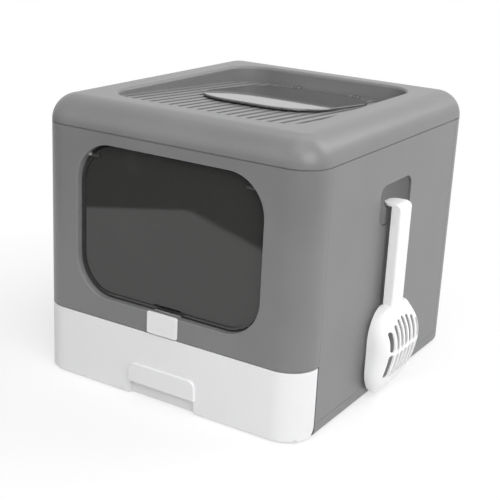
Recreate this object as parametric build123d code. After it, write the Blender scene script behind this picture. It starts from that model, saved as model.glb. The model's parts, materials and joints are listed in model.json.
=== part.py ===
"""Top entry litter box: a gray walled box with a swinging front door, a grooved
top cover with a flip-up lid, a slide-out litter drawer and a hanging scoop.

Frame: millimetres, +Z up, origin on the floor at the centre of the box footprint.
The door and the drawer face -Y. The scoop hangs on the +X wall.
"""
import os
from math import sqrt

from build123d import *

# ---------------------------------------------------------------- driving sizes
# box
body_width = 410.0
body_depth = 460.0
body_height = 383.0
corner_radius = 40.0
wall = 3.0
corner_wrap = 43.0          # how far the front and back walls wrap round each side
seam_gap = 0.4              # open line between neighbouring walls
lap_gap = 0.3               # clearance between parts that slide or lap
hair = 0.01                 # less than any real size
root = 0.5                  # how far a rib or lug runs into the wall that carries it
clip_gap = 0.1              # play between parts that clip together
pin_clearance = 0.05        # radial clearance round a hinge pin

# base
base_height = 18.0
base_floor = 3.0
base_edge_radius = 8.0
apron_inset = 16.0          # floor plate under the drawer front, in from the box sides
runner_height = 1.2
runner_width = 10.0
runner_spacing = 300.0
runner_front_gap = 4.0      # front edge of the base to a runner
runner_end_gap = 12.0
guide_height = 11.0
guide_front_gap = 4.0
apron_root = 5.0            # apron into the floor of the tub

# walls
cover_height = 35.5
top_step = 1.2              # shadow line under the cover
lap_width = 14.0
lap_thickness = 2.4
lap_root = 8.0              # along the wall that carries the lap
lap_above_base = 34.0
lap_low_gap = 4.0
lap_below_skirt = 2.0
hole_width = 93.0
hole_height = 54.5
hole_radius = 15.0
hole_drop = 52.7            # top of the wall to the top of the hole
hole_offset = -2.0          # along Y, from the middle of the wall
tongue_width = 42.0
tongue_height = 26.0
tongue_radius = 5.0

# pins that hold the walls
wall_pin_diameter = 3.2
wall_pin_length = 34.0
wall_knuckle_length = 14.0
wall_knuckle_size = 6.4
wall_pin_height = 21.0
wall_pin_spacing = 220.0
corner_pin_rise = 53.5      # foot of the front wall to the lower corner pins
corner_pin_drop = 47.2      # top of the wall to the upper ones
corner_knuckle_height = 12.0

# front door
opening_side = 64.0         # side of the box to the opening
opening_foot = 28.5         # foot of the front wall to the opening
opening_head = 16.2         # opening to the top of the wall
opening_radius = 52.0
opening_edge_radius = 1.8
flange_depth = 16.5
flange_wall = 2.5
door_gap = 2.5
door_plate = 2.5
door_rim_width = 3.2
door_rim_depth = 6.0
door_setback = 11.0         # front face of the box to the middle of the door
door_top_radius = 56.0
door_foot_radius = 49.5
door_axis_drop = 18.0       # top of the opening to the hinge axis
door_pin_diameter = 5.0
door_pin_head_diameter = 8.0
door_pin_head = 2.5
door_pin_stop = 1.2         # inner end of a knuckle to the bottom of its pin hole
door_knuckle_diameter = 7.6
door_knuckle_length = 12.0
door_pin_show = 5.5         # pin left bare between a knuckle and the opening
pin_boss_diameter = 10.0
pin_boss_length = 12.0
boss_proud = 1.2            # how far a boss stands out of the wall round the opening

# door latch
latch_width = 47.0
latch_plate = 2.5
latch_radius = 3.0
latch_overlap = 2.0         # how far its top covers the opening
latch_lift = 6.0
latch_stem_width = 16.0
latch_stem_height = 8.0
latch_stem_rise = 7.0       # foot of the slider to its stem
latch_face_gap = 0.2        # slider to the face of the wall
latch_barb = 0.8
latch_barb_thickness = 1.5
latch_play = 0.2            # stem of the latch to its slot
latch_edge_radius = 0.9
latch_rib_end = 2.0         # rounded corner of the latch to the end of a rib
latch_rib_pitch = 2.6
latch_rib_width = 1.1
latch_rib_depth = 0.35
latch_rib_count = 7
catch_rise = 2.5            # rim of the door to the top of the slot for the bolt
bolt_width = 40.0
bolt_thickness = 2.1
bolt_plate = 2.5
bolt_height = 15.0
bolt_drop = 4.0             # foot of the bolt below the stem
bolt_play = 0.4             # bolt to the slots that it slides in

# litter drawer
drawer_height = 95.0
drawer_top_gap = 1.5        # drawer front to the wall above it
drawer_lift = 1.0           # drawer front to the floor
drawer_side_gap = 2.5       # drawer front to the side walls behind it
drawer_edge_radius = 3.5
drawer_heel_radius = 18.0   # lower rear corners, seen from the side
drawer_end_rib = 6.0        # floor of the drawer front left at its ends
drawer_face_rib = 9.0       # and along its face
pan_side_gap = 8.5
pan_wall = 2.5
pan_front_gap = 10.5        # front face of the box to the pan
pan_back_gap = 16.0
pan_height = 86.0
pan_radius = 22.0
pan_foot_radius = 10.0
pull_width = 106.0
pull_height = 27.0
pull_bottom = 21.0
pull_thickness = 3.0
pull_radius = 11.0
pull_bevel = 2.0
grip_depth = 7.0
grip_flare = 7.0
grip_flare_slope = 0.9
grip_rise = 12.0            # hollow behind the pull tab, for the fingertips
grip_wall = 2.2
peg_diameter = 7.0
peg_head = 1.6
peg_head_lip = 0.6
peg_reach = 120.0           # to each side of the middle
peg_levels = (60.0, 30.0)

# top cover
cover_edge_radius = 35.0
recess_side = 60.0          # side of the box to the recess
recess_front_end = 60.0     # front of the box to the recess
recess_back_end = 55.0
recess_radius = 45.0
recess_edge_radius = 4.5
recess_wall = 4.0
recess_depth_front = 5.6
recess_depth_back = 24.6
ramp_thickness = 6.0
groove_pitch = 14.85
groove_width = 6.0
groove_depth = 2.0
groove_count = 19
groove_gap = 7.0            # recess walls to the ends of the grooves
skirt_thickness = 2.5
skirt_depth = 10.0

# entry hole and lid
entry_side_lap = 8.0        # how far the ramp reaches under the lid
entry_back_lap = 8.0
entry_front_lap = 16.0
entry_radius = 60.0
lid_front_width = 188.0
lid_back_width = 200.0
lid_length = 224.5
lid_front_radius = 68.0
lid_back_radius = 66.0
lid_thickness = 3.0
lid_edge_radius = 1.5
lid_rise_front = 5.2        # top of the lid above the ramp
lid_rise_back = 1.0
lid_margin = 1.5
lid_axis_inset = 5.5        # recess wall to the lid hinge axis
lid_pin_diameter = 3.0
lid_knuckle_diameter = 6.0
lid_knuckle_length = 9.0
lid_knuckle_spacing = 100.0
lid_lug_root = 4.0          # lugs into the ramp
lid_arm = 6.0               # arms of the knuckles into the lid
pocket_front = 4.0          # knuckle room, in front of the back edge of the lid
pocket_drop = 5.0           # top of the knuckle room below the top of the cover
lid_lug = 2.6
curb_width = 3.0            # raised edge round the entry hole that carries the lid

# scoop
scoop_plane = 211.0         # X of the open face of the blade
scoop_middle = -12.0        # Y of its middle
scoop_wall = 2.2
blade_half_width = 54.0
blade_bottom = 5.4
blade_top = 130.7
blade_wide_level = 89.7
blade_toe_height = 43.6
blade_toe_end = 10.8        # half width of the flat end of the toe
blade_depth = 34.6
blade_deep_level = 73.5
blade_tip_depth = 3.0
blade_toe_power = 1.39      # 2 would be an ellipse, a lower power is a straighter toe
blade_corner = 25.0
corner_growth = 1.5         # how fast the corners round below the handle
corner_by_depth = 0.85      # largest corner, by the depth of the bowl
corner_by_width = 0.6       # and by half its width
handle_width = 34.0
handle_depth = 14.0
handle_wall = 2.6
handle_inner = 212.5        # X of the side of the handle that faces the wall
handle_corner = 3.0
handle_crown = 10.0         # bend at the top, where the handle turns into the hook
channel_start = 5.0         # foot of the handle to the hollow in its back
neck_ease = 0.12            # softness of the bend where the handle runs into the bowl
hook_thickness = 3.0
hook_radius = 12.0          # plan corners of the hook
hook_clearance = 2.5        # wall to the lip behind it
hook_lip = 2.2
hook_lip_drop = 5.0         # below the top of the tongue
slot_pitch = 12.1
slot_width = 7.8
slot_shift = -4.0           # the rows sit a little off the middle of the blade
slot_count = 7
slot_start = 4.0            # open face of the blade to the nearest slot
slot_split = 76.0           # middle of the band between the two rows
slot_band = 3.6
slot_upper = 39.5           # length of the middle slot above the band
slot_lower = 38.5
slot_upper_arch = 1.3       # how much shorter, per squared step from the middle
slot_lower_arch = 0.45

# ---------------------------------------------------------------- derived places
half_width = body_width / 2
half_depth = body_depth / 2
beyond = 10.0               # how far a cutter reaches past what it cuts
seam_y = half_depth - corner_wrap
side_half = seam_y - seam_gap / 2
wrap_end = seam_y + seam_gap / 2
wall_bottom = base_height + 0.4
cover_bottom = body_height - cover_height
wall_top = cover_bottom - lap_gap
front_bottom = drawer_height + drawer_top_gap
corner_pin_levels = (front_bottom + corner_pin_rise, wall_top - corner_pin_drop)
hole_top = wall_top - hole_drop

opening_width = body_width - 2 * opening_side
opening_bottom = front_bottom + opening_foot
opening_top = wall_top - opening_head
opening_height = opening_top - opening_bottom
opening_middle = (opening_bottom + opening_top) / 2
door_y = door_setback - half_depth
door_axis_z = opening_top - door_axis_drop

inner_x = half_width - wall
inner_y = half_depth - wall
pan_half_width = inner_x - pan_side_gap
recess_width = body_width - 2 * recess_side
recess_front = recess_front_end - half_depth
recess_back = half_depth - recess_back_end
recess_length = recess_back - recess_front
recess_middle = (recess_front + recess_back) / 2
recess_floor = body_height - recess_depth_back
recess_slope = (recess_depth_back - recess_depth_front) / recess_length
lid_axis_y = recess_back - lid_axis_inset
lid_back = lid_axis_y - 5.0
lid_front = lid_back - lid_length
entry_back = lid_back - entry_back_lap
entry_front = lid_front + entry_front_lap
entry_width = lid_front_width - 2 * entry_side_lap

tongue_top = hole_top - hole_height + tongue_height
hook_top = tongue_top + lap_gap + hook_thickness
neck_depth = handle_inner + handle_depth - scoop_plane


# ---------------------------------------------------------------- shape helpers
def block(x_low, x_high, y_low, y_high, z_low, z_high):
    """A box between two corners."""
    size = Box(x_high - x_low, y_high - y_low, z_high - z_low)
    return Pos((x_low + x_high) / 2, (y_low + y_high) / 2, (z_low + z_high) / 2) * size


def prism(width, depth, radius, z_low, z_high, x=0.0, y=0.0):
    """A rounded rectangle raised from z_low to z_high."""
    return Pos(x, y, z_low) * extrude(RectangleRounded(width, depth, radius), z_high - z_low)


def body_prism(inset, z_low, z_high):
    """The plan of the whole box, drawn in by inset."""
    radius = max(corner_radius - inset, 1.0)
    return prism(body_width - 2 * inset, body_depth - 2 * inset, radius, z_low, z_high)


def body_ring(outer, inner, z_low, z_high):
    """The plan of the box between two insets."""
    return body_prism(outer, z_low, z_high) - body_prism(inner, z_low - 1, z_high + 1)


def front_plate(width, height, radius, y_low, y_high, x, z):
    """A rounded rectangle in the XZ plane, from y_low to y_high."""
    plane = Plane(origin=(x, y_high, z), x_dir=(1, 0, 0), z_dir=(0, -1, 0))
    return extrude(plane * RectangleRounded(width, height, radius), y_high - y_low)


def side_plate(width, height, radius, x_low, x_high, y, z):
    """A rounded rectangle in the YZ plane, from x_low to x_high."""
    plane = Plane(origin=(x_low, y, z), x_dir=(0, 1, 0), z_dir=(1, 0, 0))
    return extrude(plane * RectangleRounded(width, height, radius), x_high - x_low)


def profile_along_x(points, x_low, x_high):
    """A polygon of (y, z) points carried from x_low to x_high."""
    plane = Plane(origin=(x_low, 0, 0), x_dir=(0, 1, 0), z_dir=(1, 0, 0))
    return extrude(plane * make_face(Polyline(*points, close=True)), x_high - x_low)


def rod_x(radius, x_low, x_high, y, z):
    """A round bar along X."""
    return Pos((x_low + x_high) / 2, y, z) * Rot(0, 90, 0) * Cylinder(radius, x_high - x_low)


def rod_y(radius, y_low, y_high, x, z):
    """A round bar along Y."""
    return Pos(x, (y_low + y_high) / 2, z) * Rot(90, 0, 0) * Cylinder(radius, y_high - y_low)


def rod_z(radius, z_low, z_high, x, y):
    """A round bar along Z."""
    return Pos(x, y, (z_low + z_high) / 2) * Cylinder(radius, z_high - z_low)


def mirrored(x_low, x_high, side):
    """An X range on the +X side, or its mirror image on the -X side."""
    return (x_low, x_high) if side > 0 else (-x_high, -x_low)


def save(shape, name):
    """Write one node."""
    export_step(shape, f"parts/{name}.step")


# ---------------------------------------------------------------- wall pins
pin_gap = 0.3               # side play between a knuckle and its lugs
wall_pin_x = inner_x - lap_gap - wall_knuckle_size / 2
wall_pin_y = inner_y - lap_gap - wall_knuckle_size / 2
knuckle_half = wall_knuckle_size / 2
lug_end = wall_pin_length / 2
lug_start = wall_knuckle_length / 2 + pin_gap


def side_knuckles(side):
    """Knuckles at the foot of a side wall, one round each pin."""
    x_low, x_high = mirrored(wall_pin_x - knuckle_half, inner_x + root, side)
    group = None
    for y in (-wall_pin_spacing / 2, wall_pin_spacing / 2):
        half = wall_knuckle_length / 2
        knuckle = block(x_low, x_high, y - half, y + half, wall_bottom, wall_pin_height + knuckle_half)
        group = knuckle if group is None else group + knuckle
    return group


def back_knuckles():
    """Knuckles at the foot of the back wall."""
    group = None
    for x in (-wall_pin_spacing / 2, wall_pin_spacing / 2):
        half = wall_knuckle_length / 2
        knuckle = block(x - half, x + half, wall_pin_y - knuckle_half, inner_y + root,
                        wall_bottom, wall_pin_height + knuckle_half)
        group = knuckle if group is None else group + knuckle
    return group


def side_bores(side, radius):
    """Pin holes, or the pins themselves, along the foot of a side wall."""
    group = None
    for y in (-wall_pin_spacing / 2, wall_pin_spacing / 2):
        bore = rod_y(radius, y - lug_end, y + lug_end, side * wall_pin_x, wall_pin_height)
        group = bore if group is None else group + bore
    return group


def back_bores(radius):
    """Pin holes, or the pins themselves, along the foot of the back wall."""
    group = None
    for x in (-wall_pin_spacing / 2, wall_pin_spacing / 2):
        bore = rod_x(radius, x - lug_end, x + lug_end, wall_pin_y, wall_pin_height)
        group = bore if group is None else group + bore
    return group


# corner pins: upright, through an ear of the front or back wall and one of the side wall
ear_x_high = inner_x - lap_gap - lap_thickness
ear_size = 6.6
ear_arm = 6.5               # side wall ears, inward past the edge of the lap
ear_weld = 0.2              # ears of the end walls into the lap
corner_pin_x = ear_x_high - ear_size / 2
corner_pin_inset = 3.5      # edge of the wrapped wall to the corner pin
corner_pin_y = wrap_end - corner_pin_inset


def corner_ears(side, end, x_high):
    """Ears of a front (end -1) or back (end +1) wall, under each corner pin level."""
    x_low, x_high = mirrored(ear_x_high - ear_size, x_high, side)
    group = None
    for level in corner_pin_levels:
        y_low, y_high = sorted((end * (corner_pin_y - ear_size / 2), end * (corner_pin_y + ear_size / 2)))
        ear = block(x_low, x_high, y_low, y_high, level - corner_knuckle_height, level - pin_gap / 2)
        group = ear if group is None else group + ear
    return group


def side_ears(side, end):
    """Ears of a side wall, above each corner pin level, reaching round the lap."""
    x_low, x_high = mirrored(ear_x_high - ear_size, ear_x_high - lap_gap, side)
    root_low, root_high = mirrored(ear_x_high - ear_size, inner_x + root, side)
    lap_end = wrap_end - lap_width
    group = None
    for level in corner_pin_levels:
        z_low = level + pin_gap / 2
        z_high = level + corner_knuckle_height
        y_low, y_high = sorted((end * (lap_end - ear_arm), end * (corner_pin_y + ear_size / 2)))
        arm = block(x_low, x_high, y_low, y_high, z_low, z_high)
        y_low, y_high = sorted((end * (lap_end - ear_arm), end * (lap_end - 2 * lap_gap)))
        arm = arm + block(root_low, root_high, y_low, y_high, z_low, z_high)
        group = arm if group is None else group + arm
    return group


def corner_bores(side, end, radius, reach):
    """Corner pin holes, or the pins themselves."""
    group = None
    for level in corner_pin_levels:
        bore = rod_z(radius, level - reach, level + reach, side * corner_pin_x, end * corner_pin_y)
        group = bore if group is None else group + bore
    return group


def lap(side, end, z_low, z_high):
    """Strip of the front or back wall that lies behind the edge of a side wall."""
    x_low, x_high = mirrored(ear_x_high, inner_x - lap_gap, side)
    y_low, y_high = sorted((end * (wrap_end - lap_width), end * (wrap_end + lap_root)))
    strip = block(x_low, x_high, y_low, y_high, z_low, z_high)
    x_low, x_high = mirrored(inner_x - 1.0, inner_x + root, side)
    y_low, y_high = sorted((end * (wrap_end + 2 * lap_gap), end * (wrap_end + lap_root)))
    return strip + block(x_low, x_high, y_low, y_high, z_low, z_high)


# ---------------------------------------------------------------- base
def make_base():
    tub = body_prism(0, 0, base_height)
    tub = fillet(tub.edges().group_by(Axis.Z)[0], base_edge_radius)
    tub -= body_prism(wall, base_floor, base_height + 1)
    front = block(-half_width - 1, half_width + 1, -half_depth - 1, -side_half, -1, base_height + 1)
    tub -= front
    apron_front = grip_depth + grip_wall + drawer_top_gap - half_depth
    apron = body_prism(apron_inset, 0, base_floor)
    tub += apron & block(-half_width, half_width, apron_front, -side_half + apron_root, -1, base_height)
    for side in (-1, 1):
        x = side * runner_spacing / 2
        tub += block(x - runner_width / 2, x + runner_width / 2, apron_front + runner_front_gap,
                     inner_y - runner_end_gap, base_floor - root, base_floor + runner_height)
        x_low, x_high = mirrored(pan_half_width + 0.5, inner_x + root, side)
        tub += block(x_low, x_high, -side_half + guide_front_gap, inner_y - corner_radius, base_floor - root,
                     base_floor + guide_height)
    return tub + wall_lugs()


def wall_lugs():
    """Pairs of lugs beside every wall knuckle, bored for the pins."""
    group = None
    top = wall_pin_height + knuckle_half
    for side in (-1, 1):
        low, high = mirrored(wall_pin_x - knuckle_half, inner_x - lap_gap, side)
        root_low, root_high = mirrored(wall_pin_x - knuckle_half, inner_x + root, side)
        for y in (-wall_pin_spacing / 2, wall_pin_spacing / 2):
            for end in (-1, 1):
                y_low, y_high = sorted((y + end * lug_start, y + end * lug_end))
                lug = block(low, high, y_low, y_high, base_floor - root, top)
                lug += block(root_low, root_high, y_low, y_high, base_floor - root, base_height)
                group = lug if group is None else group + lug
        group -= side_bores(side, wall_pin_diameter / 2 + pin_clearance)
    for x in (-wall_pin_spacing / 2, wall_pin_spacing / 2):
        for end in (-1, 1):
            x_low, x_high = sorted((x + end * lug_start, x + end * lug_end))
            lug = block(x_low, x_high, wall_pin_y - knuckle_half, inner_y - lap_gap, base_floor - root, top)
            lug += block(x_low, x_high, wall_pin_y - knuckle_half, inner_y + root,
                         base_floor - root, base_height)
            group += lug
    return group - back_bores(wall_pin_diameter / 2 + pin_clearance)


# ---------------------------------------------------------------- walls
def shadow_step():
    """Cut round the top outer edge of the walls, the thin line under the cover."""
    return body_ring(-1, top_step, wall_top - top_step, wall_top + 1)


def hand_hole(side):
    """Rounded hand hole with the tongue left standing in its lower edge."""
    x_low, x_high = mirrored(inner_x - 1, half_width + 1, side)
    z = hole_top - hole_height / 2
    hole = side_plate(hole_width, hole_height, hole_radius, x_low, x_high, hole_offset, z)
    bottom = hole_top - hole_height
    depth = tongue_height + 2 * tongue_radius
    tongue = side_plate(tongue_width, depth, tongue_radius, x_low - 1, x_high + 1,
                        hole_offset, bottom + tongue_height - depth / 2)
    return hole - tongue


def make_side(side):
    low, high = mirrored(inner_x, half_width, side)
    panel = block(low, high, -side_half, side_half, wall_bottom, wall_top)
    panel += side_knuckles(side)
    for end in (-1, 1):
        panel += side_ears(side, end)
        panel -= corner_bores(side, end, wall_pin_diameter / 2 + pin_clearance, corner_knuckle_height + 1)
    panel -= side_bores(side, wall_pin_diameter / 2 + pin_clearance)
    return panel - hand_hole(side) - shadow_step()


def make_end_wall(end, z_low):
    """Front or back wall: a flat face that wraps round both corners."""
    skin = body_ring(0, wall, z_low, wall_top)
    keep = block(-half_width - 1, half_width + 1, wrap_end, half_depth + 1, z_low - 1, wall_top + 1)
    skin = skin & (keep if end > 0 else mirror(keep, Plane.XZ))
    for side in (-1, 1):
        skin += lap(side, end, max(z_low + lap_low_gap, base_height + lap_above_base),
                    wall_top - skirt_depth - lap_below_skirt)
        skin += corner_ears(side, end, ear_x_high + ear_weld)
        skin -= corner_bores(side, end, wall_pin_diameter / 2 + pin_clearance, corner_knuckle_height + 1)
    return skin - shadow_step()


def make_back():
    panel = make_end_wall(1, wall_bottom) + back_knuckles()
    return panel - back_bores(wall_pin_diameter / 2 + pin_clearance)


def opening_edge_x(z):
    """Half width of the door opening at height z."""
    centre_x = opening_width / 2 - opening_radius
    rise = max(z - (opening_top - opening_radius), 0.0)
    return centre_x + sqrt(opening_radius ** 2 - rise ** 2)


opening_at_pin = opening_edge_x(door_axis_z)
boss_end = opening_edge_x(door_axis_z - door_pin_head_diameter / 2) + flange_wall + boss_proud


def make_front():
    panel = make_end_wall(-1, front_bottom)
    grow = 2 * flange_wall
    flange_back = flange_depth - half_depth
    flange = front_plate(opening_width + grow, opening_height + grow, opening_radius + flange_wall,
                         -half_depth + 1, flange_back, 0, opening_middle)
    panel += flange
    for side in (-1, 1):
        x_low, x_high = mirrored(boss_end - pin_boss_length, boss_end, side)
        panel += rod_x(pin_boss_diameter / 2, x_low, x_high, door_y, door_axis_z)
    opening = front_plate(opening_width, opening_height, opening_radius,
                          -half_depth - 1, flange_back + 20, 0, opening_middle)
    panel -= opening
    for side in (-1, 1):
        x_low, x_high = mirrored(boss_end - 20, boss_end + 1, side)
        panel -= rod_x(door_pin_diameter / 2 + pin_clearance, x_low, x_high, door_y, door_axis_z)
    rim = [edge for edge in panel.edges()
           if abs(edge.center().Y + half_depth) < hair
           and abs(edge.center().X) < opening_width / 2 + 1
           and opening_bottom - 1 < edge.center().Z < opening_top + 1]
    panel = fillet(rim, opening_edge_radius)
    return panel - latch_slots()


# ---------------------------------------------------------------- door latch
latch_bottom = front_bottom + 0.5
latch_top = opening_bottom + latch_overlap
stem_low = latch_bottom + latch_stem_rise
stem_high = stem_low + latch_stem_height
bolt_back = wall + lap_gap - half_depth
bolt_low = stem_low - bolt_drop
bolt_high = bolt_low + bolt_height
bolt_y = door_y


def latch_slots():
    """Slot for the latch stem and slot in the flange for the bolt."""
    stem = block(-latch_stem_width / 2 - latch_play, latch_stem_width / 2 + latch_play,
                 -half_depth - 1, -inner_y + root, stem_low - latch_play,
                 stem_high + latch_lift + latch_play)
    half = bolt_width / 2 + 0.5
    bolt = block(-half, half, bolt_y - bolt_thickness / 2 - bolt_play,
                 bolt_y + bolt_thickness / 2 + bolt_play,
                 opening_bottom - flange_wall - 1, opening_bottom + 1)
    return stem + bolt


def make_latch_slider():
    face_back = -half_depth - latch_face_gap
    height = latch_top - latch_bottom
    plate = front_plate(latch_width, height, latch_radius, face_back - latch_plate, face_back,
                        0, latch_bottom + height / 2)
    front_edges = plate.edges().group_by(Axis.Y)[0]
    plate = fillet(front_edges, latch_edge_radius)
    for index in range(latch_rib_count):
        z = latch_bottom + height / 2 + (index - (latch_rib_count - 1) / 2) * latch_rib_pitch
        half = latch_width / 2 - latch_radius - latch_rib_end
        plate -= block(-half, half, face_back - latch_plate - 1, face_back - latch_plate + latch_rib_depth,
                       z - latch_rib_width / 2, z + latch_rib_width / 2)
    stem_end = bolt_back + bolt_plate + clip_gap
    barb_low = stem_low + 0.5
    barb_high = stem_high - 0.5
    barb_root = latch_stem_width / 2 - 2
    plate += block(-latch_stem_width / 2, latch_stem_width / 2, face_back - root, stem_end,
                   stem_low, stem_high)
    for side in (-1, 1):
        x_low, x_high = mirrored(barb_root, latch_stem_width / 2 + latch_barb, side)
        plate += block(x_low, x_high, stem_end, stem_end + latch_barb_thickness, barb_low, barb_high)
        x_low, x_high = mirrored(barb_root, latch_stem_width / 2, side)
        plate += block(x_low, x_high, stem_end - root, stem_end + latch_barb_thickness, barb_low, barb_high)
    return plate


def make_latch_bolt():
    plate = block(-bolt_width / 2, bolt_width / 2, bolt_back, bolt_back + bolt_plate, bolt_low, bolt_high)
    plate -= block(-latch_stem_width / 2 - clip_gap, latch_stem_width / 2 + clip_gap, bolt_back - 1,
                   bolt_back + bolt_plate + 1, stem_low - clip_gap, stem_high + clip_gap)
    tongue_back = bolt_y + bolt_thickness / 2
    shelf = block(-bolt_width / 2, bolt_width / 2, bolt_back, tongue_back, bolt_low, bolt_low + bolt_plate)
    tongue_top = opening_bottom + 1.0
    tongue = block(-bolt_width / 2, bolt_width / 2, bolt_y - bolt_thickness / 2, tongue_back,
                   bolt_low, tongue_top)
    return plate + shelf + tongue


# ---------------------------------------------------------------- front door
door_width = opening_width - 2 * door_gap
door_height = opening_height - 2 * door_gap
door_knuckle_end = opening_at_pin - door_pin_show
door_knuckle_reach = door_knuckle_end - door_knuckle_length


def door_slab(inset, thickness):
    """The door's shape drawn in by inset: tighter corners at the foot than at the top."""
    y_low = door_y - thickness / 2
    y_high = door_y + thickness / 2
    width = door_width - 2 * inset
    height = door_height - 2 * inset
    slab = front_plate(width, height, door_foot_radius - inset, y_low, y_high, 0, opening_middle)
    tall = front_plate(width, 2 * height, door_top_radius - inset, y_low, y_high,
                       0, opening_middle - height / 2)
    return slab & tall


def make_door():
    rim = door_slab(0, door_rim_depth) - door_slab(door_rim_width, door_rim_depth + beyond)
    door = door_slab(0, door_plate) + rim
    for side in (-1, 1):
        x_low, x_high = mirrored(door_knuckle_end, door_width, side)
        door -= block(x_low, x_high, door_y - beyond, door_y + beyond,
                      door_axis_z - door_pin_diameter / 2 - lap_gap, opening_top)
    for side in (-1, 1):
        x_low, x_high = mirrored(door_knuckle_reach, door_knuckle_end, side)
        door += rod_x(door_knuckle_diameter / 2, x_low, x_high, door_y, door_axis_z)
        x_low, x_high = mirrored(door_knuckle_reach + door_pin_stop, door_knuckle_end + 1, side)
        door -= rod_x(door_pin_diameter / 2 + pin_clearance, x_low, x_high, door_y, door_axis_z)
    door_bottom = opening_bottom + door_gap
    half = bolt_width / 2 + 1
    catch_top = door_bottom + door_rim_width + catch_rise
    door -= block(-half, half, door_y - bolt_thickness / 2 - bolt_play,
                  door_y + bolt_thickness / 2 + bolt_play,
                  door_bottom - 1, catch_top)
    return door


def make_door_pin(side):
    x_low, x_high = mirrored(door_knuckle_reach + door_pin_stop + lap_gap, boss_end + root, side)
    pin = rod_x(door_pin_diameter / 2, x_low, x_high, door_y, door_axis_z)
    x_low, x_high = mirrored(boss_end + clip_gap, boss_end + clip_gap + door_pin_head, side)
    return pin + rod_x(door_pin_head_diameter / 2, x_low, x_high, door_y, door_axis_z)


# ---------------------------------------------------------------- litter drawer
pan_front = pan_front_gap - half_depth
pan_back = half_depth - pan_back_gap
pan_bottom = base_floor + runner_height + lap_gap
peg_places = [(x, z) for z in peg_levels for x in (-peg_reach, peg_reach)]


def make_pan():
    length = pan_back - pan_front
    middle = (pan_back + pan_front) / 2
    outer = prism(2 * pan_half_width, length, pan_radius, pan_bottom, pan_bottom + pan_height, 0, middle)
    outer = fillet(outer.edges().group_by(Axis.Z)[0], pan_foot_radius)
    inner = prism(2 * (pan_half_width - pan_wall), length - 2 * pan_wall, pan_radius - pan_wall,
                  pan_bottom + pan_wall, pan_bottom + pan_height + beyond, 0, middle)
    inner = fillet(inner.edges().group_by(Axis.Z)[0], pan_foot_radius - pan_wall)
    pan = outer - inner
    for x, z in peg_places:
        hole = rod_y(peg_diameter / 2 + pin_clearance, pan_front - 1, pan_front + pan_wall + 1, x, z)
        pan -= hole
    return pan


def make_drawer_front():
    bottom = drawer_lift
    solid = body_prism(0, bottom, drawer_height)
    solid = fillet(solid.edges().group_by(Axis.Z)[0], drawer_edge_radius)
    keep = block(-half_width - 1, half_width + 1, -half_depth - 1, -side_half - drawer_side_gap,
                 bottom, drawer_height + 1)
    heel = keep.edges().filter_by(Axis.X).group_by(Axis.Z)[0].sort_by(Axis.Y)[-1]
    solid &= fillet(heel, drawer_heel_radius)
    shell = solid - body_prism(wall, bottom + wall, drawer_height + 1)
    rib = wall + drawer_end_rib
    shell -= block(-half_width + rib, half_width - rib, -inner_y + drawer_face_rib, -side_half + beyond,
                   0, bottom + wall + 1)
    shell += grip_pocket_wall() & solid
    shell -= grip_pocket()
    shell += pull_tab()
    for x, z in peg_places:
        shell += rod_y(peg_diameter / 2, -inner_y - 0.5, pan_front + pan_wall + clip_gap, x, z)
        shell += rod_y(peg_diameter / 2 + peg_head_lip, pan_front + pan_wall + clip_gap,
                       pan_front + pan_wall + clip_gap + peg_head, x, z)
    return shell


def grip_outline(extra, top):
    """Front view of the finger hollow: straight sides, flaring in a soft bend at the foot."""
    half = pull_width / 2 - 2 + extra
    foot = -beyond
    bend = pull_bottom - grip_flare / 2
    right = Line((half, top), (half, bend))
    flare = Spline((half, bend), (half + grip_flare, foot), tangents=((0, -1), (grip_flare_slope, -1)))
    return [right, flare, Line((half + grip_flare, foot), (-half - grip_flare, foot)),
            mirror(flare, Plane.YZ), mirror(right, Plane.YZ), Line((-half, top), (half, top))]


def extrude_front(outline, y_low, y_high):
    """A closed outline in the XZ plane, from y_low to y_high."""
    plane = Plane(origin=(0, y_high, 0), x_dir=(1, 0, 0), z_dir=(0, -1, 0))
    return extrude(plane * make_face(outline), y_high - y_low)


def grip_pocket():
    """The hollow for the fingertips, open at the foot and running up behind the tab."""
    top = pull_bottom + grip_rise
    return extrude_front(grip_outline(0, top), -half_depth - beyond, grip_depth - half_depth)


def grip_pocket_wall():
    top = pull_bottom + grip_rise + grip_wall
    return extrude_front(grip_outline(grip_wall, top), -half_depth + 1, grip_depth + grip_wall - half_depth)


def pull_tab():
    """Raised tab over the hollow."""
    height = pull_height
    face = -half_depth - pull_thickness
    back = -half_depth + 0.5
    tab = front_plate(pull_width, height, pull_radius, face, back, 0, pull_bottom + height / 2)
    square = block(-pull_width / 2, pull_width / 2, face, back, pull_bottom, pull_bottom + height / 2)
    tab += square
    edges = [edge for edge in tab.edges().group_by(Axis.Y)[0] if edge.center().Z > pull_bottom + hair]
    return fillet(edges, pull_bevel)


# ---------------------------------------------------------------- top cover
def ramp_z(y):
    """Height of the recess floor, falling towards the back."""
    return recess_floor + recess_slope * (recess_back - y)


def lid_z(y):
    """Height of the top face of the closed lid."""
    front = ramp_z(lid_front) + lid_rise_front
    back = ramp_z(lid_back) + lid_rise_back
    return back + (front - back) * (lid_back - y) / (lid_back - lid_front)


def slanted(height, low, high, x_half):
    """Slab between two offsets below or above a slanted surface height(y)."""
    far = half_depth
    points = [(-far, height(-far) + low), (far, height(far) + low),
              (far, height(far) + high), (-far, height(-far) + high)]
    return profile_along_x(points, -x_half, x_half)


lid_axis_z = lid_z(lid_axis_y) - lid_thickness / 2


def recess_prism(inset, z_low, z_high):
    """The plan of the recess drawn in by inset."""
    return prism(recess_width - 2 * inset, recess_length - 2 * inset, recess_radius - inset,
                 z_low, z_high, 0, recess_middle)


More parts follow.
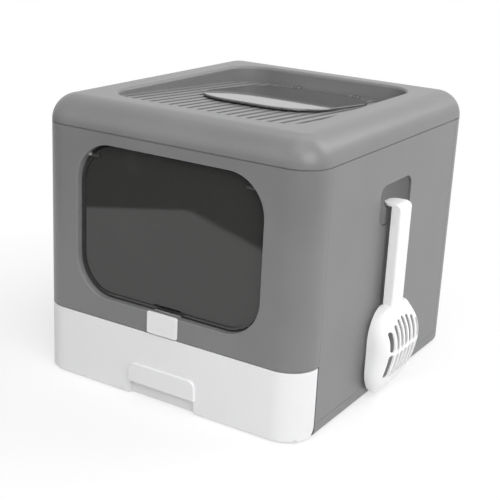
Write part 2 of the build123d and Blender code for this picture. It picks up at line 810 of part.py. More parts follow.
def make_cover():
    outer = body_prism(0, cover_bottom, body_height)
    outer = fillet(outer.edges().group_by(Axis.Z)[-1], cover_edge_radius)
    inner = body_prism(wall, cover_bottom - 1, body_height - wall)
    inner = fillet(inner.edges().group_by(Axis.Z)[-1], cover_edge_radius - wall)
    cover = outer - inner
    tub_low = ramp_z(recess_back) - ramp_thickness
    cover += recess_prism(-recess_wall, tub_low, body_height - 0.5)
    cover -= recess_prism(0, tub_low - beyond, body_height + beyond)
    mouth = [edge for edge in cover.edges()
             if abs(edge.center().Z - body_height) < hair
             and abs(edge.center().X) < recess_width / 2 + 1
             and recess_front - 1 < edge.center().Y < recess_back + 1]
    cover = fillet(mouth, recess_edge_radius)
    ramp = slanted(ramp_z, -ramp_thickness, 0, half_width)
    cover += recess_prism(-1, tub_low - beyond, body_height) & ramp
    cover -= grooves()
    cover -= lid_seat()
    cover += entry_curb()
    cover -= entry_prism(0)
    cover = cover + lid_lugs() - lid_pockets()
    skirt_inner = wall + 0.5 + skirt_thickness
    cover += body_ring(wall + 0.5, skirt_inner, wall_top - skirt_depth, cover_bottom + 2)
    cover += body_ring(wall - root, skirt_inner, cover_bottom + root, cover_bottom + 2 + root)
    return cover


def grooves():
    """Grooves that run down the ramp and stop short of the recess walls."""
    group = []
    for index in range(groove_count):
        x = (index - (groove_count - 1) / 2) * groove_pitch
        slot = SlotOverall(recess_length - 2 * groove_gap, groove_width, rotation=90)
        group.append(extrude(Pos(x, recess_middle, cover_bottom) * slot, cover_height))
    field = recess_prism(groove_gap, cover_bottom, body_height)
    return (Part() + group) & field & slanted(ramp_z, -groove_depth, cover_height, half_width)


def entry_prism(grow):
    """The hole under the lid, which laps over it all round."""
    return prism(entry_width + 2 * grow, entry_back - entry_front + 2 * grow, entry_radius + grow,
                 cover_bottom - beyond, body_height, 0, (entry_back + entry_front) / 2)


def entry_curb():
    """Low curb round the entry hole, up to the underside of the closed lid."""
    low = lid_thickness + lap_gap
    return entry_prism(curb_width) & slanted(lid_z, -low - lid_rise_front, -low, half_width)


def lid_outline(grow):
    """Plan of the lid: a little wider at the hinge, with large front corners."""
    back = lid_back_width / 2
    front = lid_front_width / 2
    face = make_face(Polyline((-back, lid_back), (back, lid_back), (front, lid_front),
                              (-front, lid_front), close=True))
    corners = face.vertices().group_by(Axis.Y)
    face = fillet(corners[0], lid_front_radius)
    face = fillet(face.vertices().group_by(Axis.Y)[-1], lid_back_radius)
    return offset(face, grow) if grow else face


def lid_seat():
    """Shallow seat in the ramp, where the closed lid lies lower than the floor."""
    plan = extrude(Pos(0, 0, cover_bottom) * lid_outline(lid_margin), cover_height)
    return plan & slanted(lid_z, -lid_thickness - lap_gap, cover_height, half_width)


def lid_hinge_places():
    return (-lid_knuckle_spacing / 2, lid_knuckle_spacing / 2)


def lid_lugs():
    """Two small lugs beside each lid knuckle."""
    group = None
    radius = lid_knuckle_diameter / 2
    for x in lid_hinge_places():
        for end in (-1, 1):
            start = x + end * (lid_knuckle_length / 2 + pin_gap)
            x_low, x_high = sorted((start, start + end * lid_lug))
            lug = block(x_low, x_high, lid_axis_y - radius, lid_axis_y + radius,
                        ramp_z(lid_axis_y) - lid_lug_root, lid_axis_z)
            lug += rod_x(radius, x_low, x_high, lid_axis_y, lid_axis_z)
            group = lug if group is None else group + lug
    return group


def lid_pockets():
    """Room for the lid knuckles, and the holes for their pins."""
    group = None
    half = lid_knuckle_length / 2 + pin_gap
    reach = half + lid_lug
    room = lid_knuckle_diameter / 2 + 0.5
    for x in lid_hinge_places():
        pocket = block(x - half, x + half, lid_back - pocket_front, lid_axis_y + room,
                       lid_axis_z - room, body_height - pocket_drop)
        pocket += rod_x(lid_pin_diameter / 2 + pin_clearance, x - reach, x + reach, lid_axis_y, lid_axis_z)
        group = pocket if group is None else group + pocket
    return group


def make_lid():
    plan = extrude(Pos(0, 0, cover_bottom) * lid_outline(0), cover_height + beyond)
    lid = plan & slanted(lid_z, -lid_thickness, 0, half_width)
    broad = lid.faces().sort_by(SortBy.AREA)[-2:]
    top = broad.sort_by(Axis.Z)[-1]
    lid = fillet(top.edges(), lid_edge_radius)
    half = lid_knuckle_length / 2
    for x in lid_hinge_places():
        arm = block(x - half, x + half, lid_back - lid_arm, lid_axis_y,
                    lid_axis_z - beyond, lid_axis_z + beyond)
        lid += arm & slanted(lid_z, -lid_thickness, 0, half_width)
        lid += rod_x(lid_knuckle_diameter / 2, x - half, x + half, lid_axis_y, lid_axis_z)
        lid -= rod_x(lid_pin_diameter / 2 + pin_clearance, x - half - 1, x + half + 1,
                     lid_axis_y, lid_axis_z)
    return lid


def make_lid_pin(x):
    reach = lid_knuckle_length / 2 + pin_gap + lid_lug
    return rod_x(lid_pin_diameter / 2, x - reach, x + reach, lid_axis_y, lid_axis_z)


# ---------------------------------------------------------------- scoop
def blade_width_at(z):
    """Half width: a quarter ellipse at the shoulders, straight, then a rounded toe."""
    if z > blade_wide_level:
        t = (z - blade_wide_level) / (blade_top + 1 - blade_wide_level)
        return handle_width / 2 + (blade_half_width - handle_width / 2) * sqrt(1 - t * t)
    toe = blade_bottom + blade_toe_height
    if z < toe:
        t = (toe - z) / (blade_toe_height + 1)
        return blade_half_width - (blade_half_width - blade_toe_end) * (1 - sqrt(1 - t * t))
    return blade_half_width


def blade_depth_at(z):
    """Depth of the bowl behind its open face: an eased cubic below the handle, then a round toe."""
    if z > blade_deep_level:
        u = (blade_top - z) / (blade_top - blade_deep_level)
        v = u * u / (u + neck_ease * (1 - u))
        return neck_depth + (blade_depth - neck_depth) * (1 - (1 - v) ** 3)
    t = (blade_deep_level - z) / (blade_deep_level - blade_bottom + 0.5)
    fall = (1 - t ** blade_toe_power) ** (1 / blade_toe_power)
    return blade_tip_depth + (blade_depth - blade_tip_depth) * fall


def blade_section(z, inset, lead):
    """One level of the bowl: a box with two round corners, open towards the wall."""
    half = blade_width_at(z) - inset
    depth = blade_depth_at(z) - inset
    opened = handle_corner + corner_growth * (blade_top - z)
    radius = max(min(blade_corner, opened) - inset, 0.5)
    radius = min(radius, corner_by_depth * depth, corner_by_width * half)
    x_low = scoop_plane - lead
    x_high = scoop_plane + depth
    low = scoop_middle - half
    high = scoop_middle + half
    bend = radius * (1 - sqrt(0.5))
    outline = [
        Line((x_low, low), (x_high - radius, low)),
        ThreePointArc((x_high - radius, low), (x_high - bend, low + bend), (x_high, low + radius)),
        Line((x_high, low + radius), (x_high, high - radius)),
        ThreePointArc((x_high, high - radius), (x_high - bend, high - bend), (x_high - radius, high)),
        Line((x_high - radius, high), (x_low, high)),
        Line((x_low, high), (x_low, low)),
    ]
    return Pos(0, 0, z) * make_face(outline)


def blade_levels(low, high):
    shares = (0.0, 0.045, 0.12, 0.24, 0.4, 0.56, 0.7, 0.82, 0.9, 0.96, 1.0)
    return [low + share * (high - low) for share in shares]


def make_blade():
    outer = loft([blade_section(z, 0.0, 0.0) for z in blade_levels(blade_bottom, blade_top)])
    low = blade_bottom + scoop_wall
    high = blade_top - scoop_wall
    inner = loft([blade_section(z, scoop_wall, 2.0) for z in blade_levels(low, high)])
    return outer - inner - blade_slots()


def blade_slots():
    """Two rows of sifting slots, their outer ends on an arch."""
    group = []
    x_low = scoop_plane + slot_start
    x_high = scoop_plane + blade_depth + beyond
    upper_low = slot_split + slot_band / 2
    lower_high = slot_split - slot_band / 2
    for index in range(slot_count):
        step = index - (slot_count - 1) / 2
        y = scoop_middle + slot_shift + step * slot_pitch
        upper_high = upper_low + slot_upper - slot_upper_arch * step * step
        lower_low = lower_high - slot_lower + slot_lower_arch * step * step
        for low, high in ((upper_low, upper_high), (lower_low, lower_high)):
            group.append(side_plate(slot_width, high - low, slot_width / 2 - hair, x_low, x_high,
                                    y, (low + high) / 2))
    return Part() + group


def crown_edge(bar):
    return bar.edges().filter_by(Axis.Y).group_by(Axis.Z)[-1].sort_by(Axis.X)[-1]


def make_handle():
    low = blade_top - 2.0
    x_high = handle_inner + handle_depth
    half = handle_width / 2
    bar = block(handle_inner, x_high, scoop_middle - half, scoop_middle + half, low, hook_top)
    upright = fillet(bar.edges().filter_by(Axis.Z).group_by(Axis.X)[-1], handle_corner)
    bar = upright & fillet(crown_edge(bar), handle_crown)
    inner_half = half - handle_wall
    channel = block(handle_inner - 1, x_high - handle_wall, scoop_middle - inner_half,
                    scoop_middle + inner_half, low + channel_start, hook_top - hook_thickness)
    return bar - fillet(crown_edge(channel), handle_crown - handle_wall)


def make_hook():
    """Plate from the handle over the tongue, with a lip that hangs behind it."""
    half = handle_width / 2
    x_low = inner_x - hook_clearance - hook_lip
    x_high = handle_inner + 2 * hook_radius
    width = x_high - x_low
    plate = prism(width, handle_width, hook_radius, hook_top - hook_thickness, hook_top,
                  x_low + width / 2, scoop_middle)
    plate &= block(x_low, handle_inner + 1, scoop_middle - half, scoop_middle + half, 0, hook_top)
    lip_half = half - hook_radius
    lip = block(x_low, x_low + hook_lip, scoop_middle - lip_half, scoop_middle + lip_half,
                tongue_top - hook_lip_drop, hook_top - hook_thickness + 0.1)
    return plate + lip


def make_scoop():
    return make_blade() + make_handle() + make_hook()


# ---------------------------------------------------------------- write the nodes
def build():
    os.makedirs("parts", exist_ok=True)
    save(make_base(), "base")
    save(make_front(), "front_wall")
    save(make_back(), "back_wall")
    save(make_side(-1), "left_wall")
    save(make_side(1), "right_wall")
    pin = wall_pin_diameter / 2
    save(side_bores(-1, pin), "left_wall_pins")
    save(side_bores(1, pin), "right_wall_pins")
    save(back_bores(pin), "back_wall_pins")
    for end, end_name in ((-1, "front"), (1, "back")):
        for side, side_name in ((-1, "left"), (1, "right")):
            pins = corner_bores(side, end, pin, corner_knuckle_height)
            save(pins, f"{end_name}_{side_name}_corner_pins")
    save(make_cover(), "top_cover")
    save(make_lid(), "top_lid")
    left, right = lid_hinge_places()
    save(make_lid_pin(left), "left_lid_pin")
    save(make_lid_pin(right), "right_lid_pin")
    save(make_door(), "front_door")
    save(make_door_pin(-1), "left_door_pin")
    save(make_door_pin(1), "right_door_pin")
    save(make_latch_slider(), "latch_slider")
    save(make_latch_bolt(), "latch_bolt")
    save(make_pan(), "drawer_pan")
    save(make_drawer_front(), "drawer_front")
    save(make_scoop(), "scoop")


build()
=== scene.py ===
# %% [markdown]
# # A litter box that a cat enters from the top
#
# The real thing is a box of moulded plastic walls on a base, under a cover with a
# sunken, grooved top. A smoke-tinted lid closes the hole in the top, a smoke-tinted
# door swings in the front, a white drawer slides out below it and a white scoop hangs
# on the right wall.
#
# All of that is already there as a packed model, whose solids have the right shapes.
# It could be rebuilt here as new meshes, but then the two could drift apart. So the
# packed model is loaded as a fixed frame, in metres, and this lesson gives it its
# finishes, a studio and a camera.

import json
from math import cos, radians, sin

import bpy
import numpy as np
from mathutils import Matrix, Vector

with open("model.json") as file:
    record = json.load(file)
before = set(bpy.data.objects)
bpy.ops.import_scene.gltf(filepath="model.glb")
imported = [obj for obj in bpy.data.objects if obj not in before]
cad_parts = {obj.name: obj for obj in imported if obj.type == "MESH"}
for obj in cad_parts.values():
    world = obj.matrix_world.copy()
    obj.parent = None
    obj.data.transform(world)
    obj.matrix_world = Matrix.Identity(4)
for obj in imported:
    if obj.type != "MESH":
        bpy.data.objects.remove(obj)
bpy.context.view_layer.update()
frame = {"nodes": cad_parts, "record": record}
nodes = frame["nodes"]


# %% [markdown]
# ## Sockets that can be added and multiplied
#
# A finish is a network of nodes. It could be wired by hand, link by link, but then the
# sum behind a roughness is hard to read. A small class wraps one socket, and its + - *
# and / add the Math node that they stand for, also with a plain number on their left,
# so a sum reads as it would on paper. Every other node comes from one method, node.

# %% Wrapped sockets
class Wire:
    """One socket of a node tree, with the sums that are made of it."""

    def __init__(self, tree, socket=None):
        self.tree = tree
        self.socket = socket

    def node(self, kind, settings=None, out=0, **inputs):
        """A node of any kind. Its settings are made first: a property such as a Math
        node's operation, or stops, the places and colours of a ramp. Then come its
        sockets, by name or as in0, in1 for the first and the second, each with a
        plain value or with the wire that is linked to it."""
        made = self.tree.nodes.new(kind)
        for name, value in (settings or {}).items():
            if name == "stops":
                for stop, (place, colour) in zip(made.color_ramp.elements, value):
                    stop.position, stop.color = place, colour
            else:
                setattr(made, name, value)
        for name, value in inputs.items():
            key = int(name[2:]) if name[2:].isdigit() else name.replace("_", " ")
            if isinstance(value, Wire):
                self.tree.links.new(value.socket, made.inputs[key])
            else:
                made.inputs[key].default_value = value
        return Wire(self.tree, made.outputs[out] if made.outputs else None)

    def math(self, operation, *terms):
        """A Math node on the given terms, in their order."""
        terms = {f"in{place}": term for place, term in enumerate(terms)}
        return self.node("ShaderNodeMath", {"operation": operation}, **terms)

    def __add__(self, other):
        return self.math("ADD", self, other)

    def __radd__(self, other):
        return self.math("ADD", other, self)

    def __sub__(self, other):
        return self.math("SUBTRACT", self, other)

    def __rsub__(self, other):
        return self.math("SUBTRACT", other, self)

    def __mul__(self, other):
        return self.math("MULTIPLY", self, other)

    def __rmul__(self, other):
        return self.math("MULTIPLY", other, self)

    def __truediv__(self, other):
        return self.math("DIVIDE", self, other)

    def __abs__(self):
        return self.math("ABSOLUTE", self)

    def larger(self, other):
        """The larger of two values."""
        return self.math("MAXIMUM", self, other)

    def clamp(self):
        """The value held between 0 and 1."""
        return self.math("MINIMUM", self.larger(0.0), 1.0)


sums = [name.strip("_") for name in vars(Wire) if name.endswith(("add__", "sub__", "mul__"))]
print("a socket can be summed by", sums)


# %% [markdown]
# ## Colours and an empty finish
#
# A colour is easiest to name by its three screen levels from 0 to 255, while a shader
# wants light, which isn't in proportion to them. The screen curve turns one into the
# other: a straight foot for the darkest levels and a power of 2.4 above it.

# %% Colours and new finishes
def linear(red, green, blue):
    """Light of a screen colour: level over 255 is the share; a share up to 0.04045 is
    divided by 12.92, and a larger one is (share + 0.055) / 1.055 to the power 2.4."""
    share = np.array([red, green, blue]) / 255
    light = np.where(share <= 0.04045, share / 12.92, ((share + 0.055) / 1.055) ** 2.4)
    return (*light.tolist(), 1.0)


def new_finish(name):
    """An empty material, and a wire from which its nodes are made."""
    finish = bpy.data.materials.new(name)
    finish.use_nodes = True
    finish.node_tree.nodes.clear()
    return finish, Wire(finish.node_tree)


print("middle gray", [round(v, 4) for v in linear(126, 126, 127)])


# %% [markdown]
# ## Moulded plastic
#
# The walls, base and cover are gray polypropylene, and the drawer, latch and scoop
# are white. Such a skin is satin, with a grain too fine to see as dots. It is never
# quite even: where the melt flowed its colour clouds and its gloss drifts.
#
# One flat colour would look like paint, and an image of the grain would show a seam
# where it starts again. Two noises on the object's own coordinates have no seam: a
# slow one clouds the colour and the roughness, and a fine one bumps the surface.

# %% Moulded plastic
plastic_ior = 1.49
cloud_scale = 9.0
cloud_stops = (0.35, 0.65)
grain_scale = 900.0
grain_height = 0.0002
noise_middle = 0.5
gloss_drift = 0.12
gloss_grain = 0.06


def moulded_plastic(name, colour, roughness, grain, cloud=0.04):
    """Satin plastic. Its colour runs from colour times (1 - cloud) to colour times
    (1 + cloud). Its roughness is the given one, plus gloss_drift times the slow noise
    and gloss_grain times the fine noise, each counted from the noise's middle."""
    finish, wire = new_finish(name)
    place = wire.node("ShaderNodeTexCoord", out="Object")
    slow = wire.node(
        "ShaderNodeTexNoise", Vector=place, Scale=cloud_scale, Detail=3.0, Roughness=0.5
    )
    fine = wire.node(
        "ShaderNodeTexNoise", Vector=place, Scale=grain_scale, Detail=2.0, Roughness=0.6
    )
    darker = (*(v * (1 - cloud) for v in colour[:3]), 1.0)
    lighter = (*(min(v * (1 + cloud), 1.0) for v in colour[:3]), 1.0)
    stops = list(zip(cloud_stops, (darker, lighter)))
    clouded = wire.node("ShaderNodeValToRGB", {"stops": stops}, in0=slow)
    drift = (slow - noise_middle) * gloss_drift
    speckle = (fine - noise_middle) * gloss_grain
    bump = wire.node(
        "ShaderNodeBump", Height=fine, Distance=grain_height, Strength=grain
    )
    shader = wire.node(
        "ShaderNodeBsdfPrincipled",
        Base_Color=clouded,
        Roughness=roughness + drift + speckle,
        Normal=bump,
        IOR=plastic_ior,
    )
    wire.node("ShaderNodeOutputMaterial", Surface=shader)
    return finish


shell_gray = moulded_plastic(
    "shell_gray", linear(126, 126, 127), roughness=0.36, grain=0.12
)
drawer_white = moulded_plastic(
    "drawer_white", linear(240, 240, 241), roughness=0.5, grain=0.08, cloud=0.008
)
# The scoop's white is brighter than the drawer's: a painted lighter tone for its place on
# the lit right wall.
scoop_lit_white = moulded_plastic(
    "scoop_lit_white", linear(253, 253, 253), roughness=0.5, grain=0.08, cloud=0.008
)
pin_plastic = moulded_plastic(
    "pin_plastic", linear(190, 190, 188), roughness=0.35, grain=0.05
)
plastics = (shell_gray, drawer_white, scoop_lit_white, pin_plastic)
print("plastics:", [finish.name for finish in plastics])


# %% [markdown]
# ## Smoke-tinted sheet
#
# The door and the lid are moulded from see-through plastic with so much dark tint in
# it that little shows behind them. Their faces are mirror-smooth, so they show the
# room, more so the lower they are looked along. Their rims carry painted light: the
# door's rim turns back a tenth of its mirror share, a painted shade for the wall's
# shade it lies in, and the lid's rim and knuckles turn back more than theirs, a
# painted highlight.
#
# Real glass with a tinted volume would need thick, exact solids and many light
# bounces. A dark, slightly see-through surface under a clear mirror looks the same
# and costs little: the Fresnel node says which share of the light the mirror turns
# back, and the surface's own direction tells the flat face from the rim.

# %% Smoke-tinted sheet
sheet_cover = 0.92
sheet_roughness = 0.03
smudge_scale = 22.0
smudge_gloss = 0.02
flat_from = 0.93
flat_blend = 0.05


def smoke_sheet(name, colour, ior, face, painted_rim_light):
    """Dark sheet, nearly opaque, under a mirror. The mirror's share is the Fresnel
    share times a factor that goes from painted_rim_light to 1 as the surface's direction
    along the face's own axis goes past flat_from."""
    finish, wire = new_finish(name)
    place = wire.node("ShaderNodeTexCoord", out="Object")
    smudge = wire.node(
        "ShaderNodeTexNoise", Vector=place, Scale=smudge_scale, Detail=4.0, Roughness=0.6
    )
    sheet = wire.node(
        "ShaderNodeBsdfPrincipled",
        Base_Color=colour,
        Roughness=0.5,
        Specular_IOR_Level=0.0,
        Alpha=sheet_cover,
    )
    smudged = (sheet_roughness + (smudge - noise_middle) * smudge_gloss).clamp()
    mirror = wire.node("ShaderNodeBsdfGlossy", Color=(1, 1, 1, 1), Roughness=smudged)
    direction = wire.node("ShaderNodeTexCoord", out="Normal")
    along = abs(wire.node("ShaderNodeSeparateXYZ", out=face, Vector=direction))
    flat = ((along - flat_from) / flat_blend).clamp()
    share = wire.node("ShaderNodeFresnel", IOR=ior)
    # Painted light on the rims: a factor below 1 dims the mirror there to a painted shade,
    # one above 1 brightens it to a painted highlight.
    share = share * (painted_rim_light + flat * (1 - painted_rim_light))
    both = wire.node("ShaderNodeMixShader", in0=share, in1=sheet, in2=mirror)
    wire.node("ShaderNodeOutputMaterial", Surface=both)
    return finish


# Painted light on the rims: the door's factor of 0.1 is a painted shade, the lid's 1.2 a
# painted highlight on its rim and knuckles.
door_tint = smoke_sheet("door_tint", linear(60, 60, 59), 1.5, face="Y", painted_rim_light=0.1)
# The lid's paler tint and IOR of 1.6 are painted light: a lighter, more mirror-like copy of
# the door's sheet for a lid that faces up to the lamps.
lid_tint = smoke_sheet("lid_tint", linear(84, 84, 83), 1.6, face="Z", painted_rim_light=1.2)
print("sheets:", door_tint.name, lid_tint.name)


# %% [markdown]
# ## Steel pins
#
# The pins on which the walls and the lid turn are drawn steel wire. Drawing leaves
# fine streaks, so a plain mirror would be too clean. One fine noise in the roughness
# of a metal is enough at this size.

# %% Steel pins
steel_roughness = 0.25
streak_scale = 400.0
streak_gloss = 0.2


def drawn_steel(name):
    """Bare steel: a metal whose roughness is steel_roughness plus streak_gloss times a
    fine noise."""
    finish, wire = new_finish(name)
    place = wire.node("ShaderNodeTexCoord", out="Object")
    streak = wire.node("ShaderNodeTexNoise", Vector=place, Scale=streak_scale, Detail=2.0)
    shader = wire.node(
        "ShaderNodeBsdfPrincipled",
        Base_Color=linear(190, 190, 192),
        Metallic=1.0,
        Roughness=steel_roughness + streak * streak_gloss,
    )
    wire.node("ShaderNodeOutputMaterial", Surface=shader)
    return finish


pin_steel = drawn_steel("pin_steel")
print("steel:", pin_steel.name)


# %% [markdown]
# ## Each part gets its finish
#
# The packed record says for every part which kind of finish it has. The parts could be
# listed here by hand, but reading the record means that none is forgotten. Two parts
# have their own, lighter copies of their kind: the lid, whose flat face looks up and
# not forward, gets a paler tint and a stronger mirror than the door, and the scoop a
# brighter white than the drawer. Both lighter copies are painted light for parts that
# face the lamps more.

# %% Finishes of the parts
finish_of_slot = {
    "body_gray": shell_gray,
    "white_plastic": drawer_white,
    "smoke_tint": door_tint,
    "pin_plastic": pin_plastic,
    "pin_steel": pin_steel,
}
finish_of_part = {"top_lid": lid_tint, "scoop": scoop_lit_white}
for part in frame["record"]["subparts"]:
    name = part["node"]
    finish = finish_of_part.get(name, finish_of_slot[part["material_slot"]])
    if not nodes[name].material_slots:
        nodes[name].data.materials.append(finish)
    for slot in nodes[name].material_slots:
        slot.material = finish


# %% [markdown]
# ## What a camera sees and what light meets
#
# A white studio has a problem: a floor bright enough to look white throws so much
# light up that the box goes pale. One way out is to render the box alone and lay it on
# white, which loses its shadow. Here the floor and the sky have two faces instead. The
# camera, mirrors and clear plastic meet the white one, and light that bounces
# between surfaces meets a quieter one. A Light Path node tells which of them asks.

# %% Is it seen
def is_seen(wire):
    """1 for a ray from the camera, off a mirror or through clear plastic, and 0 for
    one that carries light: the largest of three Light Path values."""
    camera = wire.node("ShaderNodeLightPath", out="Is Camera Ray")
    mirrored = wire.node("ShaderNodeLightPath", out="Is Glossy Ray")
    through = wire.node("ShaderNodeLightPath", out="Is Transmission Ray")
    return camera.larger(mirrored).larger(through)


print("two faces: one is seen, one lights")


# %% [markdown]
# ## The sweep's edges, as the door mirrors them
#
# In a real studio the white paper ends somewhere in front of the box, and past it the
# room is dark. The door's upper part is darker for that reason. A dark wall could
# stand there, but the camera looks across that place. So the floor keeps its white
# for the camera, and turns dark past two straight edges only in mirrors.

# %% Edges of the sweep
sweep_corner = (-0.483, -0.961)
left_edge_inward = (0.579, 0.815)
right_edge_inward = (-0.438, 0.899)
edge_blur = 0.02


def inside_edge(x, y, inward):
    """1 well inside an edge of the sweep, 0 well outside: the offset from the corner,
    multiplied component by component with the edge's inward direction and added up,
    over the blur, plus a half."""
    depth = (x - sweep_corner[0]) * inward[0] + (y - sweep_corner[1]) * inward[1]
    return (depth / edge_blur + 0.5).clamp()


print("sweep ends", round(float(np.hypot(*sweep_corner)), 2), "m from the box")


# %% [markdown]
# ## The floor's finish
#
# The floor has to look white and still show the box's shadow. A surface that only
# glows shows no shadow, and one that is only lit isn't evenly white. A sum of both
# works: about two thirds of what is seen is a steady glow, the rest is lit, and only
# the lit share goes missing in a shadow. Further out the floor fades to pure white,
# so that no horizon shows.

# %% Floor finish
white = (1, 1, 1, 1)
near_glow = 0.61
near_matte = (0.42, 0.42, 0.42, 1)
lit_paper = (0.85, 0.85, 0.85, 1)
lit_roughness = 0.9
fade_middle = -0.2
fade_from = 0.1
fade_over = 0.5
mirror_dark = 0.05


def floor_finish():
    """White floor with two faces. The seen face is a matte share plus a glow; it fades
    to white as the squared distance from fade_middle, under the front of the box, goes
    from fade_from over fade_over more. In mirrors it is dark past the sweep's edges.
    The other face is plain white."""
    finish, wire = new_finish("studio_floor")
    place = wire.node("ShaderNodeTexCoord", out="Object")
    x = wire.node("ShaderNodeSeparateXYZ", out="X", Vector=place)
    y = wire.node("ShaderNodeSeparateXYZ", out="Y", Vector=place)
    matte = wire.node("ShaderNodeBsdfDiffuse", Color=near_matte)
    glow = wire.node("ShaderNodeEmission", Color=white, Strength=near_glow)
    near = wire.node("ShaderNodeAddShader", in0=matte, in1=glow)
    far = wire.node("ShaderNodeEmission", Color=white, Strength=1.0)
    ahead = y - fade_middle
    away = ((x * x + ahead * ahead - fade_from) / fade_over).clamp()
    seen = wire.node("ShaderNodeMixShader", in0=away, in1=near, in2=far)
    dark = wire.node("ShaderNodeEmission", Color=white, Strength=mirror_dark)
    paper = inside_edge(x, y, left_edge_inward) * inside_edge(x, y, right_edge_inward)
    mirrored = wire.node("ShaderNodeMixShader", in0=paper, in1=dark, in2=seen)
    in_mirror = wire.node("ShaderNodeLightPath", out="Is Glossy Ray")
    shown = wire.node("ShaderNodeMixShader", in0=in_mirror, in1=seen, in2=mirrored)
    lit = wire.node(
        "ShaderNodeBsdfPrincipled",
        Base_Color=lit_paper,
        Roughness=lit_roughness,
        Specular_IOR_Level=0.0,
    )
    both = wire.node("ShaderNodeMixShader", in0=is_seen(wire), in1=lit, in2=shown)
    wire.node("ShaderNodeOutputMaterial", Surface=both)
    return finish


studio_white = floor_finish()
print("floor finish has", len(studio_white.node_tree.nodes), "nodes")


# %% [markdown]
# ## The floor
#
# The box stands on a flat floor, which is only a stage and not part of it. One large
# square is enough, half a millimetre below the flat underside of the box, so that the
# two surfaces don't fight over the same height.

# %% Floor
floor_half = 12.0
floor_drop = 0.0005
turns = np.array([(-1, -1), (1, -1), (1, 1), (-1, 1)]) * floor_half
corners = np.column_stack((turns, np.full(4, -floor_drop)))
floor_mesh = bpy.data.meshes.new("studio_floor")
floor_mesh.from_pydata(corners.tolist(), [], [(0, 1, 2, 3)])
floor_mesh.materials.append(studio_white)
studio_floor = bpy.data.objects.new("studio_floor", floor_mesh)
bpy.context.collection.objects.link(studio_floor)
print("floor", 2 * floor_half, "m wide")


# %% [markdown]
# ## The sky
#
# All around is white paper, too far off to have a shape. It could be a huge dome, but
# the world's own background does the same without a mesh. Like the floor it has two
# faces: white where it is seen, and a fifth of that where it gives light.

# %% Sky
sky_light = 0.2
world = bpy.data.worlds.new("studio_world")
bpy.context.scene.world = world
world.use_nodes = True
world.node_tree.nodes.clear()
sky = Wire(world.node_tree)
seen_sky = sky.node("ShaderNodeBackground", Color=white, Strength=1.0)
lit_sky = sky.node("ShaderNodeBackground", Color=white, Strength=sky_light)
picked = sky.node("ShaderNodeMixShader", in0=is_seen(sky), in1=lit_sky, in2=seen_sky)
sky.node("ShaderNodeOutputWorld", Surface=picked)
print("sky gives", sky_light, "of its seen brightness as light")


# %% [markdown]
# ## Soft boxes
#
# A studio lights such a thing with large white lamps, so that its rounded edges turn
# softly from light to dark. Small bright lamps or a sun would draw hard shadows. Five
# square lamps stand around the box. The strongest is at its front right, because the
# right wall is lighter than the front. A sixth, small one gives the corner of the
# cover its little highlight.

# %% Soft boxes
def soft_box(name, place, aim, size, watts):
    """A square lamp at place that shines towards aim: its -Z axis lies along the line
    from place to aim."""
    data = bpy.data.lights.new(name, "AREA")
    data.shape = "SQUARE"
    data.size = size
    data.energy = watts
    lamp = bpy.data.objects.new(name, data)
    bpy.context.collection.objects.link(lamp)
    lamp.location = place
    turn = (Vector(aim) - Vector(place)).to_track_quat("-Z", "Y")
    lamp.rotation_euler = turn.to_euler()
    return lamp


box_middle = (0.0, 0.0, 0.2)
wide, small = 1.8, 0.2
# The place, width and power in watts of each lamp.
soft_boxes = {
    "key_lamp": ((2.2, -1.3, 1.7), wide, 36),
    "fill_lamp": ((-1.4, -2.4, 1.6), wide, 9),
    "top_front_lamp": ((0.3, -1.2, 2.4), wide, 15),
    "top_back_lamp": ((-0.3, 0.6, 2.6), wide, 12),
    "back_lamp": ((1.4, 1.6, 2.0), wide, 28),
    "glint_lamp": ((1.42, -1.8, 1.45), small, 5),
}
for name, (place, size, watts) in soft_boxes.items():
    soft_box(name, place, box_middle, size, watts)
print("soft boxes:", len(bpy.data.lights))


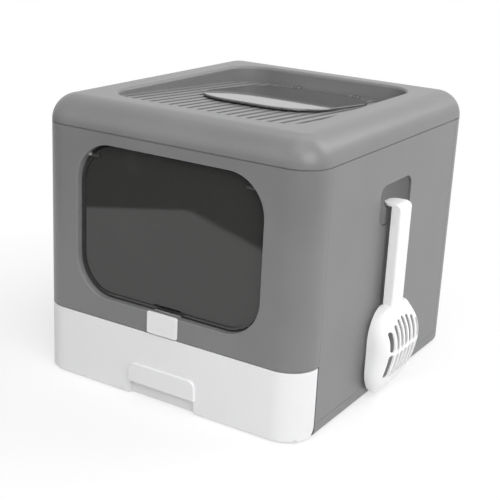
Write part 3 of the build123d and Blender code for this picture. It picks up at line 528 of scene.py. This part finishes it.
# %% [markdown]
# ## A little light indoors
#
# Through the hole in the right wall the inside of the back wall shows as a middle
# gray. In a real room light finds its way in through thin walls and every gap. Solid
# walls keep it out here, so the hole would be black. A tiny lamp inside, aimed at the
# back wall and kept to a narrow cone, puts that light back without one bright line
# at the gap under the door. The camera and mirrors don't see the lamp itself.

# %% Cabin lamp
cabin_place = (0.06, -0.02, 0.3)
back_wall_spot = (0.07, 0.225, 0.17)
cabin_lamp = soft_box("cabin_lamp", cabin_place, back_wall_spot, size=0.1, watts=0.125)
cabin_lamp.data.spread = radians(70)
cabin_lamp.visible_camera = False
cabin_lamp.visible_glossy = False
print("cabin lamp:", cabin_lamp.data.energy, "W")


# %% [markdown]
# ## The camera
#
# The camera stands a metre and a half away, to the right of the front and a little
# above, so that front, side and top all show. It could be turned by three angles in
# Blender's own order, but an orbit is easier to think in: how far round, how high, how
# far away, and how much the picture is rolled about the line of sight.

# %% Camera
azimuth, elevation, roll = radians(31.18), radians(18.57), radians(2.88)
looked_at = Vector((-0.01149, -0.0052, 0.15218))
distance = 1.56912
sensor_width = 36.0
focal_pixels = 1093.19
picture_width = 500
sees_to = 100.0


def orbit(azimuth, elevation, roll):
    """Three axes of a camera on an orbit, as the columns of a matrix. Backwards is
    (sin a cos e, -cos a cos e, sin e), right is (cos a, sin a, 0) and up is at right
    angles to both; then right and up are turned by the roll."""
    back = Vector(
        (sin(azimuth) * cos(elevation), -cos(azimuth) * cos(elevation), sin(elevation))
    )
    right = Vector((cos(azimuth), sin(azimuth), 0.0))
    up = back.cross(right)
    rolled_right = right * cos(roll) + up * sin(roll)
    rolled_up = up * cos(roll) - right * sin(roll)
    return Matrix((rolled_right, rolled_up, back)).transposed()


axes = orbit(azimuth, elevation, roll)
camera_data = bpy.data.cameras.new("camera")
camera_data.sensor_width = sensor_width
camera_data.lens = focal_pixels / picture_width * sensor_width
camera_data.clip_end = sees_to
camera = bpy.data.objects.new("camera", camera_data)
bpy.context.collection.objects.link(camera)
camera_place = looked_at + axes.col[2] * distance
camera.matrix_world = Matrix.Translation(camera_place) @ axes.to_4x4()
bpy.context.scene.camera = camera
bpy.context.scene.view_settings.view_transform = "Standard"
print("camera at", [round(v, 4) for v in camera_place])


# %% [markdown]
